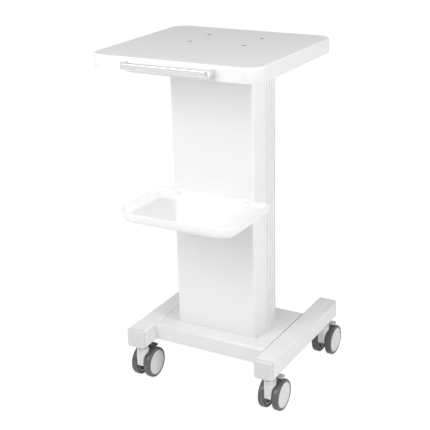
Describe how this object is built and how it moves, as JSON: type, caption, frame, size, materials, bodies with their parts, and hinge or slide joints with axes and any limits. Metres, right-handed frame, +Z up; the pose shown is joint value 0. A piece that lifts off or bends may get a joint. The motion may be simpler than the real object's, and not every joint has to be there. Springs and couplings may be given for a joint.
{
  "type": "rolling salon trolley",
  "caption": "Rolling salon trolley: flat work top with a pull handle on a slim column, a dished front shelf, and an H-shaped base on swivel casters with brake pedals.",
  "frame": {"origin": "on the floor, under the middle of the overall box", "axes": "+Z up; -Y towards the front, where the handle and the shelf are; +X to the right as seen from the front"},
  "size_m": [0.4016, 0.4912, 0.8156],
  "materials": {
    "cap_plastic": "satin moulded plastic",
    "caster_body": "satin nylon",
    "core_board": "raw fibreboard",
    "dark_steel": "black zinc",
    "handle_metal": "polished",
    "hub_plastic": "satin nylon",
    "pedal_dark": "satin nylon",
    "pedal_light": "satin nylon",
    "raw_aluminium": "mill finish",
    "tray_plastic": "glossy moulded plastic",
    "tyre_rubber": "matt rubber",
    "white_cover": "glossy moulded plastic",
    "white_paint": "satin powder coat",
    "zinc_steel": "zinc plated"
  },
  "bodies": {
    "chassis": {"top_cover": "white_cover", "top_board": "core_board", "top_underpanel": "white_cover", "top_screws": "dark_steel", "handle_bar": "handle_metal", "handle_screws": "zinc_steel", "column_extrusion": "white_paint", "column_front_cover": "white_paint", "column_rear_panel": "white_paint", "rear_panel_screws": "zinc_steel", "head_bracket": "raw_aluminium", "foot_brackets": "raw_aluminium", "base_bolts": "zinc_steel", "base_box": "white_paint", "base_bottom_plate": "zinc_steel", "leg_left": "white_paint", "leg_right": "white_paint", "leg_bolts": "zinc_steel", "leg_rivet_nuts": "zinc_steel", "leg_end_caps": "cap_plastic", "caster_nut_blocks": "raw_aluminium", "caster_stems": "zinc_steel", "shelf_tray": "tray_plastic", "shelf_hangers": "zinc_steel", "shelf_bracket": "white_paint", "bracket_bolts": "zinc_steel", "bracket_nuts": "zinc_steel"},
    "swivel_fl": {"housing_fl": "caster_body", "axle_fl": "zinc_steel"},
    "wheel_left_fl": {"tyre_left_fl": "tyre_rubber", "hub_left_fl": "hub_plastic"},
    "wheel_right_fl": {"tyre_right_fl": "tyre_rubber", "hub_right_fl": "hub_plastic"},
    "pedal_fl": {"brake_pedal_fl": "pedal_dark"},
    "swivel_fr": {"housing_fr": "caster_body", "axle_fr": "zinc_steel"},
    "wheel_left_fr": {"tyre_left_fr": "tyre_rubber", "hub_left_fr": "hub_plastic"},
    "wheel_right_fr": {"tyre_right_fr": "tyre_rubber", "hub_right_fr": "hub_plastic"},
    "pedal_fr": {"brake_pedal_fr": "pedal_light"},
    "swivel_rl": {"housing_rl": "caster_body", "axle_rl": "zinc_steel"},
    "wheel_left_rl": {"tyre_left_rl": "tyre_rubber", "hub_left_rl": "hub_plastic"},
    "wheel_right_rl": {"tyre_right_rl": "tyre_rubber", "hub_right_rl": "hub_plastic"},
    "pedal_rl": {"brake_pedal_rl": "pedal_light"},
    "swivel_rr": {"housing_rr": "caster_body", "axle_rr": "zinc_steel"},
    "wheel_left_rr": {"tyre_left_rr": "tyre_rubber", "hub_left_rr": "hub_plastic"},
    "wheel_right_rr": {"tyre_right_rr": "tyre_rubber", "hub_right_rr": "hub_plastic"},
    "pedal_rr": {"brake_pedal_rr": "pedal_light"}
  },
  "joints": [
    {"name": "swivel_turn_fl", "type": "hinge", "parent": "chassis", "child": "swivel_fl", "pos_m": [-0.1713, -0.11557, 0.07], "axis": [0, 0, 1], "continuous": true},
    {"name": "wheel_spin_left_fl", "type": "hinge", "parent": "swivel_fl", "child": "wheel_left_fl", "pos_m": [-0.1713, -0.09347, 0.0375], "axis": [1, 0, 0], "continuous": true},
    {"name": "wheel_spin_right_fl", "type": "hinge", "parent": "swivel_fl", "child": "wheel_right_fl", "pos_m": [-0.1713, -0.09347, 0.0375], "axis": [1, 0, 0], "continuous": true},
    {"name": "pedal_tilt_fl", "type": "hinge", "parent": "swivel_fl", "child": "pedal_fl", "pos_m": [-0.1713, -0.08547, 0.0665], "axis": [1, 0, 0], "range_deg": [0, 12]},
    {"name": "swivel_turn_fr", "type": "hinge", "parent": "chassis", "child": "swivel_fr", "pos_m": [0.1713, -0.11557, 0.07], "axis": [0, 0, 1], "continuous": true},
    {"name": "wheel_spin_left_fr", "type": "hinge", "parent": "swivel_fr", "child": "wheel_left_fr", "pos_m": [0.1713, -0.09347, 0.0375], "axis": [1, 0, 0], "continuous": true},
    {"name": "wheel_spin_right_fr", "type": "hinge", "parent": "swivel_fr", "child": "wheel_right_fr", "pos_m": [0.1713, -0.09347, 0.0375], "axis": [1, 0, 0], "continuous": true},
    {"name": "pedal_tilt_fr", "type": "hinge", "parent": "swivel_fr", "child": "pedal_fr", "pos_m": [0.1713, -0.08547, 0.0665], "axis": [1, 0, 0], "range_deg": [0, 12]},
    {"name": "swivel_turn_rl", "type": "hinge", "parent": "chassis", "child": "swivel_rl", "pos_m": [-0.1713, 0.18603, 0.07], "axis": [0, 0, 1], "continuous": true},
    {"name": "wheel_spin_left_rl", "type": "hinge", "parent": "swivel_rl", "child": "wheel_left_rl", "pos_m": [-0.1713, 0.20813, 0.0375], "axis": [1, 0, 0], "continuous": true},
    {"name": "wheel_spin_right_rl", "type": "hinge", "parent": "swivel_rl", "child": "wheel_right_rl", "pos_m": [-0.1713, 0.20813, 0.0375], "axis": [1, 0, 0], "continuous": true},
    {"name": "pedal_tilt_rl", "type": "hinge", "parent": "swivel_rl", "child": "pedal_rl", "pos_m": [-0.1713, 0.21613, 0.0665], "axis": [1, 0, 0], "range_deg": [0, 12]},
    {"name": "swivel_turn_rr", "type": "hinge", "parent": "chassis", "child": "swivel_rr", "pos_m": [0.1713, 0.18603, 0.07], "axis": [0, 0, 1], "continuous": true},
    {"name": "wheel_spin_left_rr", "type": "hinge", "parent": "swivel_rr", "child": "wheel_left_rr", "pos_m": [0.1713, 0.20813, 0.0375], "axis": [1, 0, 0], "continuous": true},
    {"name": "wheel_spin_right_rr", "type": "hinge", "parent": "swivel_rr", "child": "wheel_right_rr", "pos_m": [0.1713, 0.20813, 0.0375], "axis": [1, 0, 0], "continuous": true},
    {"name": "pedal_tilt_rr", "type": "hinge", "parent": "swivel_rr", "child": "pedal_rr", "pos_m": [0.1713, 0.21613, 0.0665], "axis": [1, 0, 0], "range_deg": [0, 12]}
  ]
}
